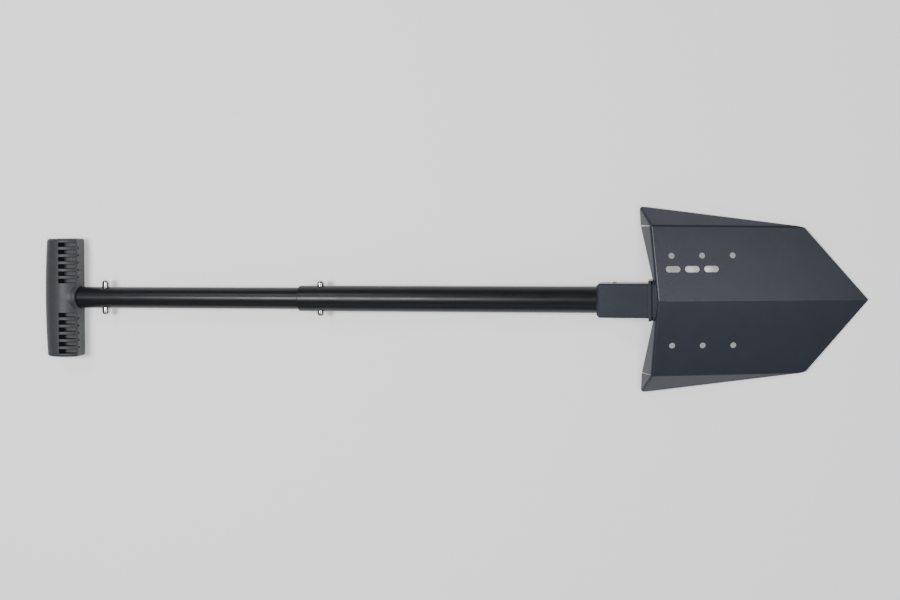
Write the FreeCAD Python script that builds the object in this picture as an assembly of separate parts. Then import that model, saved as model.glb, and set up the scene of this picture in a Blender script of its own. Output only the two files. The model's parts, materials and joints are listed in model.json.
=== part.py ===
"""Camp shovel: a pointed blade folded from sheet steel, a square socket, a shaft of two telescoping
tubes locked by double snap buttons, and a moulded T-grip.

It is modelled lying on its open side. While the pieces are made, X runs along the shaft towards the
blade's tip, Y is across the blade, Z is up through the blade's back, and the origin is where the
shaft's axis passes under the blade's rear fold. lay_down() then sets the whole shovel on its blade
tip and its grip, with the origin at the centre of its footprint.
"""
import FreeCAD, Part
import math
import os

Vector = FreeCAD.Vector
Y_AXIS = Vector(0, 1, 0)
BIG = 1600.0                     # side of the blocks that stand for half spaces
BLANK = 400.0                    # half side of the block that the blade is cut from

# ---- blade, folded from one sheet ----
SHEET = 2.0
LIFT = math.radians(11.0)        # the blade falls away from the line of the shaft
FACE_SLOPE = math.radians(7.5)   # each half of the face falls away from the ridge
WING_BEND = math.radians(43.0)   # the side wings bend down from the face
FLANGE_LEAN = math.radians(16.0) # the rear flange leans back by this much from square
RIDGE_LENGTH = 230.0             # rear fold to tip
CORNER_AT = 163.0                # the front corners, along the ridge
REAR_HALF_WIDTH = 83.6           # ridge to side fold, on the sheet, at the rear
FRONT_HALF_WIDTH = 81.0
REAR_SWEEP = 5.6                 # the rear fold's outer ends stand behind its centre
WING_WIDTH = 34.0                # at the rear; it runs out to nothing at the front corner
FLANGE_OUTER = 26.0              # height of the rear flange at its outer ends
FLANGE_CENTRE = 1.0
TAB_GAP = 0.8                    # saw cut between the rear flange and the wing's corner tab
RELIEF_SLIT = 1.2
RELIEF_REACH = 7.0

HOLE_RADIUS = 3.25
HOLE_FIRST = 16.6
HOLE_PITCH = 33.6
HOLES_PER_ROW = 3
HOLE_ROW = 49.9                  # ridge to row, on the sheet
DRAIN_SLOT = (16.0, 7.0)         # length and width of each drain slot
DRAIN_FIRST = 18.0
DRAIN_PITCH = 21.0
DRAIN_COUNT = 3
DRAIN_ROW = 35.0

# ---- square socket ----
SOCKET_SIDE = 38.1
SOCKET_BORE = 30.7
SOCKET_CORNER = 2.0
SOCKET_MOUTH = -67.2
COLLAR_SIDE = 44.8
COLLAR = (-10.2, -7.2)
MITRE_LOW = 8.0                  # where the oblique front cut meets the socket's lower side
MITRE_HIGH = 50.0                # and its upper side
END_PLATE = 2.5
NOTCH_REAR = -2.2                # the socket's upper side is notched for the sheet from here on
WELD_RADIUS = 3.4
FACE_WELD = (3.0, 36.0)          # along the ridge
FLANGE_WELD = (-6.8, 9.0)        # foot of the flange beads, and their length

# ---- shaft tubes ----
LOWER_RADIUS = 15.0
LOWER_BORE = 13.0
LOWER_ENDS = (-414.7, -12.0)
UPPER_RADIUS = 12.7
UPPER_BORE = 11.1
UPPER_ENDS = (-728.0, -340.0)
TUBE_CHAMFER = 0.6

# ---- double snap buttons ----
BUTTON_RADIUS = 4.5
BUTTON_TOP = 21.4                # from the shaft's axis
BUTTON_FOOT = 9.3
BUTTON_DOME = 1.6
BUTTON_HOLE = 4.8
SPRING_LEAF = 0.6
SPRING_WIDTH = 9.0
SPRING_REACH = 38.0              # from the buttons to the bend
SOCKET_SPRING_REACH = 19.0       # shorter, between the two tubes' plugs
SPRING_BEND = 3.0
STORAGE_AT = -660.3
EXTENSION_AT = -389.6
SOCKET_AT = -48.3

# ---- plugs ----
PLUG_DEPTH = 8.0
PLUG_WALL = 2.0
PLUG_LIP = 3.0
PLUG_LIP_RADIUS = 12.75          # just under the lower tube's bore, so that it guides

# ---- moulded grip ----
GRIP_LENGTH = 143.0
GRIP_PALM = -738.3
GRIP_FRONT = -693.0
GRIP_WIDEST = -712.0
GRIP_HALF_THICK = 17.0
GRIP_FRONT_HALF = 9.1
GRIP_BOW = 2.7
GRIP_SHOULDER = 1.8              # bulge of the sides between the widest place and the front
GRIP_ROUND = 3.0
NECK_RADIUS = 17.0
POCKET_WIDTH = 5.7
POCKET_FIRST = 20.6
POCKET_PITCH = 8.75
POCKETS_PER_SIDE = 6
POCKET_X = (-714.0, -694.4)
POCKET_WEB = 2.2                 # half the thickness of the wall between upper and lower pockets
RIVET_AT = -706.0
RIVET_RADIUS = 2.4
RIVET_HEAD_RADIUS = 4.6
RIVET_HEAD = 1.3
RIVET_FOOT = 16.4                # underside of the head, from the shaft's axis
RIVET_END = 9.6


# ---- helpers ----
def half_space(point, outward):
    """A big block on the outward side of a plane."""
    block = Part.makeBox(BIG, BIG, BIG, Vector(-BIG / 2, -BIG / 2, 0))
    turn = FreeCAD.Rotation(Vector(0, 0, 1), outward)
    block.Placement = FreeCAD.Placement(point, turn)
    return block


def rod(radius, start, end):
    """A cylinder along X."""
    return Part.makeCylinder(radius, end - start, Vector(start, 0, 0), Vector(1, 0, 0))


def tube(outer, bore, start, end):
    """A tube along X with small chamfers at the rims."""
    outside = rod(outer, start, end)
    rims = [e for e in outside.Edges if len(e.Vertexes) == 1]
    outside = outside.makeChamfer(TUBE_CHAMFER, rims)
    return outside.cut(rod(bore, start - 1, end + 1))


def square_bar(side, corner, start, end):
    """A square bar along X with rounded long edges."""
    bar = Part.makeBox(end - start, side, side, Vector(start, -side / 2, -side / 2))
    if corner:
        long_edges = [e for e in bar.Edges if abs(e.Vertexes[0].X - e.Vertexes[1].X) > 0.01]
        bar = bar.makeFillet(corner, long_edges)
    return bar


def cross_hole(x, radius, half_length=40.0):
    """A cutter along Y through both walls of a tube."""
    return Part.makeCylinder(radius, 2 * half_length, Vector(x, -half_length, 0), Y_AXIS)


# ---- blade ----
def face_normal(side):
    return Vector(0, side * math.sin(FACE_SLOPE), math.cos(FACE_SLOPE))


def on_face(along, across, side):
    """A point of the face's upper surface, in the blade's own frame."""
    return Vector(along, side * across * math.cos(FACE_SLOPE), -across * math.sin(FACE_SLOPE))


def wing_direction(side):
    angle = FACE_SLOPE + WING_BEND
    return Vector(0, side * math.cos(angle), -math.sin(angle))


def flange_direction():
    return Vector(-math.sin(FLANGE_LEAN), 0, -math.cos(FLANGE_LEAN))


def blade_planes(side):
    """Point and outward normal of the face, the wing and the rear flange of one half."""
    rear_corner = on_face(-REAR_SWEEP, REAR_HALF_WIDTH, side)
    front_corner = on_face(CORNER_AT, FRONT_HALF_WIDTH, side)
    wing = (front_corner - rear_corner).cross(wing_direction(side)) * -side
    if wing.z < 0:
        wing = wing * -1
    flange = rear_corner.cross(flange_direction())
    if flange.x > 0:
        flange = flange * -1
    wing.normalize()
    flange.normalize()
    return [(Vector(0, 0, 0), face_normal(side)), (rear_corner, wing), (rear_corner, flange)]


def blade_block(side, inset, middle):
    """The convex block under one half of the blade, its planes moved in by inset."""
    low = middle if side > 0 else -middle - BLANK
    block = Part.makeBox(2 * BLANK, BLANK, 2 * BLANK, Vector(-BLANK, low, -BLANK))
    for point, outward in blade_planes(side):
        block = block.cut(half_space(point - outward * inset, outward))
    return block


def mitre_corner(side):
    """The wing's rear corner, where wing and flange meet, WING_WIDTH from the fold."""
    rear_corner, wing = blade_planes(side)[1]
    flange = blade_planes(side)[2][1]
    along = wing.cross(flange)
    if along.z > 0:
        along = along * -1
    along.normalize()
    return rear_corner + along * (WING_WIDTH / abs(along.dot(wing_direction(side))))


def half_blade(side):
    """One half of the folded sheet, trimmed to its free edges."""
    sheet = blade_block(side, 0, 0).cut(blade_block(side, SHEET, -5))
    front_corner = on_face(CORNER_AT, FRONT_HALF_WIDTH, side)
    tip = Vector(RIDGE_LENGTH, 0, 0)
    front = (tip - front_corner).cross(Vector(0, 0, 1))
    if front.x < 0:
        front = front * -1
    sheet = sheet.cut(half_space(tip, front))
    # the wing's free edge, from its rear corner to the front corner
    corner = mitre_corner(side)
    wing_normal = blade_planes(side)[1][1]
    rim = (front_corner - corner).cross(wing_normal)
    if rim.z > 0:
        rim = rim * -1
    sheet = sheet.cut(half_space(corner, rim))
    # the flange's free edge, in two straight stretches that meet at the saw cut
    rear_corner, flange_normal = blade_planes(side)[2]
    gap_foot = rear_corner + flange_direction() * FLANGE_OUTER
    centre_foot = flange_direction() * FLANGE_CENTRE
    edge = (gap_foot - centre_foot).cross(flange_normal)
    if edge.z > 0:
        edge = edge * -1
    behind = half_space(rear_corner - flange_normal * 2 * SHEET, flange_normal)
    inboard = half_space(rear_corner, Vector(0, -side, 0))
    outboard = half_space(rear_corner, Vector(0, side, 0))
    sheet = sheet.cut(half_space(gap_foot, edge).common(behind).common(inboard))
    tab_edge = (corner - gap_foot).cross(flange_normal)
    if tab_edge.z > 0:
        tab_edge = tab_edge * -1
    sheet = sheet.cut(half_space(gap_foot, tab_edge).common(behind).common(outboard))
    # the saw cut between flange and corner tab
    low = rear_corner.y - side * 0.5 - TAB_GAP / 2
    cut = Part.makeBox(30, TAB_GAP, 60, Vector(rear_corner.x - 25, low, rear_corner.z - 62.5))
    return sheet.cut(cut)


def face_cutter(shape, along, across, side):
    """Set a cutter made about Z onto the face, square to it."""
    turn = FreeCAD.Rotation(Vector(0, 0, 1), face_normal(side))
    placed = shape.copy()
    placed.Placement = FreeCAD.Placement(on_face(along, across, side), turn)
    return placed


def slot_cutter(length, width):
    """A straight slot with round ends, lying along X."""
    reach = length / 2 - width / 2
    cutter = Part.makeBox(2 * reach, width, 20, Vector(-reach, -width / 2, -10))
    for end in (-reach, reach):
        cutter = cutter.fuse(Part.makeCylinder(width / 2, 20, Vector(end, 0, -10)))
    return cutter


def blade_frame():
    """The blade's own frame: turned down by the lift, its ridge on top of the socket."""
    turn = FreeCAD.Rotation(Y_AXIS, math.degrees(LIFT))
    return FreeCAD.Placement(Vector(0, 0, SOCKET_SIDE / 2 + SHEET), turn)


def blade_plate():
    sheet = half_blade(1).fuse(half_blade(-1))
    hole = Part.makeCylinder(HOLE_RADIUS, 20, Vector(0, 0, -10))
    for side in (1, -1):
        for i in range(HOLES_PER_ROW):
            sheet = sheet.cut(face_cutter(hole, HOLE_FIRST + i * HOLE_PITCH, HOLE_ROW, side))
    slot = slot_cutter(*DRAIN_SLOT)
    for i in range(DRAIN_COUNT):
        sheet = sheet.cut(face_cutter(slot, DRAIN_FIRST + i * DRAIN_PITCH, DRAIN_ROW, 1))
    slit = Part.makeBox(40, RELIEF_SLIT, 60, Vector(RELIEF_REACH - 40, -RELIEF_SLIT / 2, -30))
    sheet = sheet.cut(slit).removeSplitter()
    sheet.Placement = blade_frame().multiply(sheet.Placement)
    # the flanges stop at the socket
    return sheet.cut(under_face(square_bar(SOCKET_SIDE, 0, -30.0, MITRE_HIGH + 20)))


def under_face(shape):
    """Trim a shape of the socket so that it fits under the folded sheet."""
    for side in (1, -1):
        normal = blade_frame().Rotation.multVec(face_normal(side))
        base = blade_frame().Base
        above = half_space(base - normal * SHEET, normal)
        half = half_space(Vector(0, 0, 0), Vector(0, side, 0))
        ahead = half_space(Vector(NOTCH_REAR, 0, 0), Vector(1, 0, 0))
        shape = shape.cut(above.common(half).common(ahead))
    return shape


def mitre_cut(offset):
    """Everything in front of the socket's oblique end, moved forward by offset."""
    low = Vector(MITRE_LOW, 0, -SOCKET_SIDE / 2)
    high = Vector(MITRE_HIGH, 0, SOCKET_SIDE / 2)
    slope = high - low
    normal = Vector(slope.z, 0, -slope.x)
    normal.normalize()
    return half_space(low + normal * offset, normal)


def socket_tube():
    body = square_bar(SOCKET_SIDE, SOCKET_CORNER, SOCKET_MOUTH, MITRE_HIGH + 10)
    body = body.cut(square_bar(SOCKET_BORE, 0, SOCKET_MOUTH - 1, MITRE_HIGH + 11))
    body = body.cut(cross_hole(SOCKET_AT, BUTTON_HOLE))
    return under_face(body.cut(mitre_cut(0)))


def socket_end_plate():
    body = square_bar(SOCKET_SIDE, SOCKET_CORNER, -5.0, MITRE_HIGH + 10)
    body = body.cut(mitre_cut(END_PLATE)).common(mitre_cut(0))
    return under_face(body)


def socket_collar():
    ring = square_bar(COLLAR_SIDE, SOCKET_CORNER, *COLLAR)
    return ring.cut(square_bar(SOCKET_SIDE, SOCKET_CORNER, COLLAR[0] - 1, COLLAR[1] + 1))


def socket_welds(neighbours):
    """Beads along the socket's sides under the face, and along the flange beside the socket."""
    beads = []
    half = SOCKET_SIDE / 2
    place = blade_frame()
    drop = Vector(0, 0, half * math.tan(FACE_SLOPE) + SHEET)
    for side in (1, -1):
        beside = Vector(0, side * half, 0)
        start, end = [place.multVec(Vector(x, 0, 0)) + beside - drop for x in FACE_WELD]
        run = end - start
        beads.append(Part.makeCylinder(WELD_RADIUS, run.Length, start, run))
        foot, length = FLANGE_WELD
        beads.append(Part.makeCylinder(WELD_RADIUS, length, Vector(foot, side * half, 9.0),
                                       Vector(math.tan(FLANGE_LEAN), 0, 1)))
    made = []
    for bead in beads:
        for other in neighbours:
            bead = bead.cut(other)
        bead = bead.cut(square_bar(SOCKET_SIDE, 0, -40.0, MITRE_HIGH))
        made.append(max(bead.Solids, key=lambda solid: solid.Volume))
    return Part.makeCompound(made)


# ---- shaft ----
def lower_tube():
    body = tube(LOWER_RADIUS, LOWER_BORE, *LOWER_ENDS)
    for x in (EXTENSION_AT, SOCKET_AT):
        body = body.cut(cross_hole(x, BUTTON_HOLE))
    return body


def upper_tube():
    body = tube(UPPER_RADIUS, UPPER_BORE, *UPPER_ENDS)
    for x in (EXTENSION_AT, STORAGE_AT):
        body = body.cut(cross_hole(x, BUTTON_HOLE))
    return body.cut(Part.makeCylinder(RIVET_RADIUS, 20, Vector(RIVET_AT, 0, -20)))


def end_plug(bore, end, lip_radius):
    """A moulded cup pressed into a tube's end, with a lip outside it."""
    body = rod(bore, end - PLUG_DEPTH, end).fuse(rod(lip_radius, end, end + PLUG_LIP))
    return body.cut(rod(bore - PLUG_WALL, end - PLUG_DEPTH - 1, end - 1))


def snap_button(x, side):
    """A domed steel button on the shaft's side, standing through the tube's wall."""
    top = side * BUTTON_TOP
    foot = side * BUTTON_FOOT
    pin = Part.makeCylinder(BUTTON_RADIUS, BUTTON_TOP - BUTTON_FOOT, Vector(x, foot, 0),
                            Vector(0, side, 0))
    rim = [e for e in pin.Edges if len(e.Vertexes) == 1 and abs(e.CenterOfMass.y - top) < 0.1]
    return pin.makeFillet(BUTTON_DOME, rim)


def snap_spring(x, direction, reach):
    """A bent leaf spring: two arms under the buttons, joined by a round bend."""
    arm_y = BUTTON_FOOT - SPRING_LEAF
    far = x + direction * reach
    near = x - direction * BUTTON_RADIUS
    half = SPRING_WIDTH / 2
    arms = []
    for side in (1, -1):
        outline = [
            Vector(near, side * BUTTON_FOOT, -half),
            Vector(x + direction * BUTTON_RADIUS, side * BUTTON_FOOT, -half),
            Vector(far, side * SPRING_BEND, -half),
            Vector(far, side * (SPRING_BEND - SPRING_LEAF), -half),
            Vector(x + direction * BUTTON_RADIUS, side * arm_y, -half),
            Vector(near, side * arm_y, -half)]
        face = Part.Face(Part.makePolygon(outline + [outline[0]]))
        arms.append(face.extrude(Vector(0, 0, SPRING_WIDTH)))
    base = Vector(far, 0, -half)
    bend = Part.makeCylinder(SPRING_BEND, SPRING_WIDTH, base)
    bend = bend.cut(Part.makeCylinder(SPRING_BEND - SPRING_LEAF, SPRING_WIDTH, base))
    beyond = half_space(Vector(far, 0, 0), Vector(direction, 0, 0))
    return arms[0].fuse(arms[1]).fuse(bend.common(beyond)).removeSplitter()


# ---- grip ----
def grip_section():
    """The bar's section across Y: a full round palm side that narrows to a flat front."""
    palm = Vector(GRIP_PALM, 0, 0)
    top = Vector(GRIP_WIDEST, 0, GRIP_HALF_THICK)
    front = Vector(GRIP_FRONT, 0, GRIP_FRONT_HALF)
    shoulder = Vector((top.x + front.x) / 2, 0, (top.z + front.z) / 2 + GRIP_SHOULDER)
    flip = FreeCAD.Matrix()
    flip.A33 = -1
    oval = Part.Ellipse(palm, top, Vector(GRIP_WIDEST, 0, 0))
    curve = Part.ArcOfEllipse(oval, -math.pi / 2, math.pi / 2)
    upper = Part.Arc(top, shoulder, front).toShape()
    lower = Part.Arc(flip.multVec(top), flip.multVec(shoulder), flip.multVec(front)).toShape()
    flat = Part.makeLine(front, flip.multVec(front))
    wire = Part.Wire(Part.__sortEdges__([curve.toShape(), upper, flat, lower]))
    return Part.Face(wire)


def grip():
    half = GRIP_LENGTH / 2
    section = grip_section()
    section.translate(Vector(0, -half, 0))
    bar = section.extrude(Vector(0, GRIP_LENGTH, 0))
    # bowed palm side with rounded ends, seen from above
    left = GRIP_PALM + GRIP_BOW
    right = GRIP_FRONT + 5
    bow = Part.Arc(Vector(left, -half, -50), Vector(GRIP_PALM, 0, -50),
                   Vector(left, half, -50)).toShape()
    top = Part.makeLine(Vector(left, half, -50), Vector(right, half, -50))
    front = Part.makeLine(Vector(right, half, -50), Vector(right, -half, -50))
    low = Part.makeLine(Vector(right, -half, -50), Vector(left, -half, -50))
    plan = Part.Face(Part.Wire([bow, top, front, low])).extrude(Vector(0, 0, 100))
    corners = [e for e in plan.Edges
               if abs(e.CenterOfMass.x - left) < 1 and abs(abs(e.CenterOfMass.y) - half) < 1]
    plan = plan.makeFillet(GRIP_ROUND, corners)
    bar = bar.common(plan)
    bar = bar.fuse(rod(NECK_RADIUS, GRIP_WIDEST, GRIP_FRONT))
    for side in (1, -1):
        for i in range(POCKETS_PER_SIDE):
            y = side * (POCKET_FIRST + i * POCKET_PITCH) - POCKET_WIDTH / 2
            for z in (POCKET_WEB, -POCKET_WEB - 40):
                bar = bar.cut(Part.makeBox(POCKET_X[1] - POCKET_X[0], POCKET_WIDTH, 40,
                                           Vector(POCKET_X[0], y, z)))
    bar = bar.cut(rod(UPPER_RADIUS, UPPER_ENDS[0], GRIP_FRONT + 1))
    bar = bar.cut(Part.makeCylinder(RIVET_RADIUS, 20, Vector(RIVET_AT, 0, -30)))
    recess = Part.makeCylinder(RIVET_HEAD_RADIUS, 10, Vector(RIVET_AT, 0, -RIVET_FOOT - 10))
    return bar.cut(rivet_head()).cut(recess).removeSplitter()


def rivet_head():
    return Part.makeCylinder(RIVET_HEAD_RADIUS, RIVET_HEAD, Vector(RIVET_AT, 0, -RIVET_FOOT))


def grip_rivet():
    """A blind rivet from the open side through the neck and the tube, its head let in flush."""
    shank = Part.makeCylinder(RIVET_RADIUS, RIVET_FOOT - RIVET_END, Vector(RIVET_AT, 0, -RIVET_FOOT))
    return shank.fuse(rivet_head()).removeSplitter()


# ---- assembly ----
def make_parts():
    parts = {
        "blade_plate": blade_plate(),
        "socket_tube": socket_tube(),
        "socket_end_plate": socket_end_plate(),
        "socket_collar": socket_collar(),
        "lower_tube": lower_tube(),
        "lower_tube_plug": end_plug(LOWER_BORE, LOWER_ENDS[1], LOWER_RADIUS),
        "socket_spring": snap_spring(SOCKET_AT, 1, SOCKET_SPRING_REACH),
        "upper_tube": upper_tube(),
        "upper_tube_plug": end_plug(UPPER_BORE, UPPER_ENDS[1], PLUG_LIP_RADIUS),
        "extension_spring": snap_spring(EXTENSION_AT, -1, SPRING_REACH),
        "storage_spring": snap_spring(STORAGE_AT, 1, SPRING_REACH),
        "grip": grip(),
        "grip_rivet": grip_rivet(),
    }
    parts["socket_welds"] = socket_welds(
        [parts[n] for n in ("blade_plate", "socket_tube", "socket_end_plate", "socket_collar")])
    for name, x in (("socket", SOCKET_AT), ("extension", EXTENSION_AT), ("storage", STORAGE_AT)):
        parts[name + "_button_left"] = snap_button(x, 1)
        parts[name + "_button_right"] = snap_button(x, -1)
    return parts


def lay_down(parts):
    """Tip the shovel until its blade tip and grip both rest on z = 0, origin under its middle."""
    tip = blade_frame().multVec(Vector(RIDGE_LENGTH, 0, -SHEET))
    pitch = math.atan2(-GRIP_HALF_THICK - tip.z, tip.x - GRIP_WIDEST)
    turn = FreeCAD.Placement(Vector(0, 0, 0), FreeCAD.Rotation(Y_AXIS, -math.degrees(pitch)))
    for shape in parts.values():
        shape.Placement = turn.multiply(shape.Placement)
    box = FreeCAD.BoundBox()
    for shape in parts.values():
        box.add(shape.optimalBoundingBox(False))
    shift = Vector(-(box.XMin + box.XMax) / 2, -(box.YMin + box.YMax) / 2, -box.ZMin)
    for shape in parts.values():
        shape.translate(shift)
    print("pitch_deg", math.degrees(pitch), "shift", shift, "size", box.XLength, box.YLength,
          box.ZLength)


def main():
    os.makedirs("parts", exist_ok=True)
    parts = make_parts()
    lay_down(parts)
    for name, shape in parts.items():
        print(name, shape.isValid(), len(shape.Solids), round(shape.Volume, 1))
        shape.exportStep("parts/" + name + ".step")


main()
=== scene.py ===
import json
import math

import bmesh
import bpy
from bpy.props import FloatProperty, FloatVectorProperty, IntProperty, PointerProperty
from mathutils import Matrix, Vector


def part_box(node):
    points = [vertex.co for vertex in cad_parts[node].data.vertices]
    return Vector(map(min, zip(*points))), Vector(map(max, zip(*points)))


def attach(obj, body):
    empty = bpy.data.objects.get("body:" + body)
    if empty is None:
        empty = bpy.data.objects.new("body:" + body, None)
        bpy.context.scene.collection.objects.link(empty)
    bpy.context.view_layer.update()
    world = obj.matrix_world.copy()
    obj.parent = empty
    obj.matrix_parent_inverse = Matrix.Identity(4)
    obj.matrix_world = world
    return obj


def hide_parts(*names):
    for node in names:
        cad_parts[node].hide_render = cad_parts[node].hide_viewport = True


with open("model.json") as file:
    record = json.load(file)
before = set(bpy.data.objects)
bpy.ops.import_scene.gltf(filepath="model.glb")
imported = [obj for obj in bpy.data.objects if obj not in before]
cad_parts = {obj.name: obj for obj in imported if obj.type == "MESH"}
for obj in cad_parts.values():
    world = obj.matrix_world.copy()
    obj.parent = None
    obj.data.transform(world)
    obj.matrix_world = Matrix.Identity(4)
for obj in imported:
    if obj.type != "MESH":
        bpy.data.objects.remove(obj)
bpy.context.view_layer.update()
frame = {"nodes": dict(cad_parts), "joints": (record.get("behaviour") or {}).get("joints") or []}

# The looks of a camp shovel: a powder-coated folded blade with a welded square socket, a black
# telescoping shaft with polished snap buttons, and a moulded T-grip. Lengths are metres. Shapes are
# made in the shaft's own axes, X towards the blade's tip, Y to the left and Z up through the blade's
# back, with the origin where the shaft's axis passes under the blade's rear fold.

bl_info = {
    "name": "Camp Shovel",
    "version": (1, 0, 0),
    "blender": (4, 5, 0),
    "location": "View3D > Sidebar > Shovel",
    "description": "Builds the visible pieces of a telescoping camp shovel around its packed frame",
    "category": "Object",
}

COLLAR_MIDDLE = -0.0087          # the socket collar's middle, along the shaft
NOTCH_REAR = -0.0022             # the sheet lies over the socket from here on
BLANK_FRONT = 0.06               # front end of the square bars before they are cut to the sheet
SQUARE_CORNER = 0.002            # rounding of the square sections' long edges
OVERRUN = 0.01                   # how far a cutter runs past what it cuts
WIDEST_HALF_BEND = math.radians(43)
CORNER_HALF_BEND = math.radians(40)
SAW_INSET = 0.0005               # the saw cuts stand this far inside the rear corners
WELD_ALONG = (0.0045, 0.0345)    # ends of the beads under the face, along the ridge
WELD_FOOT = (-0.0064, 0.0098)    # foot of the beads up the flange, along and above the shaft's axis
WELD_UP = 0.0068                 # length of the beads up the flange
POCKET_ROUND = 0.0007            # rounding of a pocket's edges
NECK_TAPER = 0.0018              # the neck narrows by this much before its ring
RIVET_THICK = 0.0013             # thickness of the rivet's head


# ---- sizes and colours that a user may change ----
def linear(hex_value):
    """Linear RGBA from an sRGB hex value such as #3d424b."""
    channels = [int(hex_value[i:i + 2], 16) / 255 for i in (1, 3, 5)]
    return [c / 12.92 if c <= 0.04045 else ((c + 0.055) / 1.055) ** 2.4 for c in channels] + [1.0]


def length(name, default, description):
    return FloatProperty(name=name, description=description, default=default, unit="LENGTH",
                         precision=5)


def angle(name, degrees, description):
    return FloatProperty(name=name, description=description, default=math.radians(degrees),
                         subtype="ANGLE")


def colour(name, hex_value, description):
    return FloatVectorProperty(name=name, description=description, default=linear(hex_value),
                               size=4, subtype="COLOR", min=0.0, max=1.0)


class ShovelBlade(bpy.types.PropertyGroup):
    """The blade, folded from one sheet"""
    sheet: length("Sheet", 0.002, "Thickness of the steel sheet")
    fold_radius: length("Fold radius", 0.004, "Outer radius of every fold")
    lift: angle("Lift", 11.0, "The blade falls away from the line of the shaft")
    face_slope: angle("Face slope", 7.5, "Each half of the face falls away from the ridge")
    wing_bend: angle("Wing bend", 43.0, "The side wings bend down from the face")
    flange_lean: angle("Flange lean", 16.0, "The rear flange leans back from square")
    ridge_length: length("Ridge length", 0.230, "Rear fold to tip")
    corner_at: length("Front corners", 0.163, "Place of the front corners along the ridge")
    rear_half: length("Rear half width", 0.0836, "Ridge to side fold at the rear, on the sheet")
    front_half: length("Front half width", 0.081, "Ridge to front corner, on the sheet")
    rear_sweep: length("Rear sweep", 0.0056, "The rear fold's outer ends stand behind its centre")
    wing_width: length("Wing width", 0.034, "Width of the side wings at the rear")
    flange_outer: length("Flange height", 0.026, "Height of the rear flange at its outer ends")
    flange_centre: length("Flange at centre", 0.001, "Height of the rear flange at the ridge")
    corner_round: length("Wing corner", 0.005, "Rounding of the wings' rear corners")
    saw_cut: length("Saw cut", 0.0008, "Gap between the rear flange and the wing's tab")
    slit_width: length("Relief slit", 0.0016, "Width of the slit at the ridge's rear end")
    slit_reach: length("Slit reach", 0.007, "The slit's reach into the face")
    hole_radius: length("Hole radius", 0.00325, "Round holes in the face")
    hole_first: length("First hole", 0.0166, "Place of the first hole along the ridge")
    hole_pitch: length("Hole pitch", 0.0336, "Spacing of the holes")
    hole_row: length("Hole row", 0.0499, "Ridge to the row of holes, on the sheet")
    holes: IntProperty(name="Holes", description="Holes in each row", default=3, min=1)
    slot_length: length("Slot length", 0.016, "Length of each drain slot")
    slot_width: length("Slot width", 0.007, "Width of each drain slot")
    slot_first: length("First slot", 0.018, "Place of the first drain slot along the ridge")
    slot_pitch: length("Slot pitch", 0.021, "Spacing of the drain slots")
    slot_row: length("Slot row", 0.035, "Ridge to the row of drain slots, on the sheet")
    slots: IntProperty(name="Slots", description="Drain slots on the left half", default=3, min=1)
    rim: length("Rim rounding", 0.0003, "Rounding that the coating leaves on cut edges")


class ShovelShaft(bpy.types.PropertyGroup):
    """Socket, tubes and snap buttons"""
    socket_side: length("Socket side", 0.0381, "Outside of the square socket")
    socket_bore: length("Socket bore", 0.0307, "Inside of the square socket")
    socket_mouth: length("Socket mouth", -0.0672, "Place of the socket's open end")
    mouth_bevel: length("Mouth bevel", 0.0026, "Bevel round the socket's open end")
    mitre_low: length("Mitre foot", 0.008, "Oblique end at the socket's lower side")
    mitre_high: length("Mitre head", 0.050, "Oblique end at the socket's upper side")
    end_plate: length("End plate", 0.0025, "Plate that closes the oblique end")
    collar_side: length("Collar side", 0.0448, "Outside of the collar round the socket")
    collar_rear: length("Collar rear", -0.0102, "Rear face of the collar")
    collar_front: length("Collar front", -0.0072, "Front face of the collar")
    lower_radius: length("Lower radius", 0.015, "Outside of the lower tube")
    lower_bore: length("Lower bore", 0.013, "Inside of the lower tube")
    lower_rear: length("Lower rear", -0.4147, "Mouth of the lower tube")
    lower_front: length("Lower front", -0.012, "Front end of the lower tube")
    upper_radius: length("Upper radius", 0.0127, "Outside of the upper tube")
    upper_bore: length("Upper bore", 0.0111, "Inside of the upper tube")
    upper_rear: length("Upper rear", -0.728, "Rear end of the upper tube, in the grip")
    upper_front: length("Upper front", -0.340, "Front end of the upper tube")
    chamfer: length("Tube chamfer", 0.0007, "Rounding of the tubes' rims")
    button_radius: length("Button radius", 0.0045, "Snap buttons")
    button_top: length("Button top", 0.0214, "Shaft's axis to the buttons' tops")
    button_foot: length("Button foot", 0.0093, "Shaft's axis to the buttons' feet")
    button_dome: length("Button dome", 0.0036, "Rounding of the buttons' tops")
    button_hole: length("Button hole", 0.0048, "Radius of the holes in the tubes and the socket")
    storage_at: length("Storage buttons", -0.6603, "Place along the shaft")
    extension_at: length("Extension buttons", -0.3896, "Place along the shaft")
    socket_at: length("Socket buttons", -0.0483, "Place along the shaft")
    bead_radius: length("Weld bead", 0.0034, "Radius of the weld beads")
    bead_pitch: length("Bead ripple", 0.0017, "Spacing of the ripples in a bead")


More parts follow.
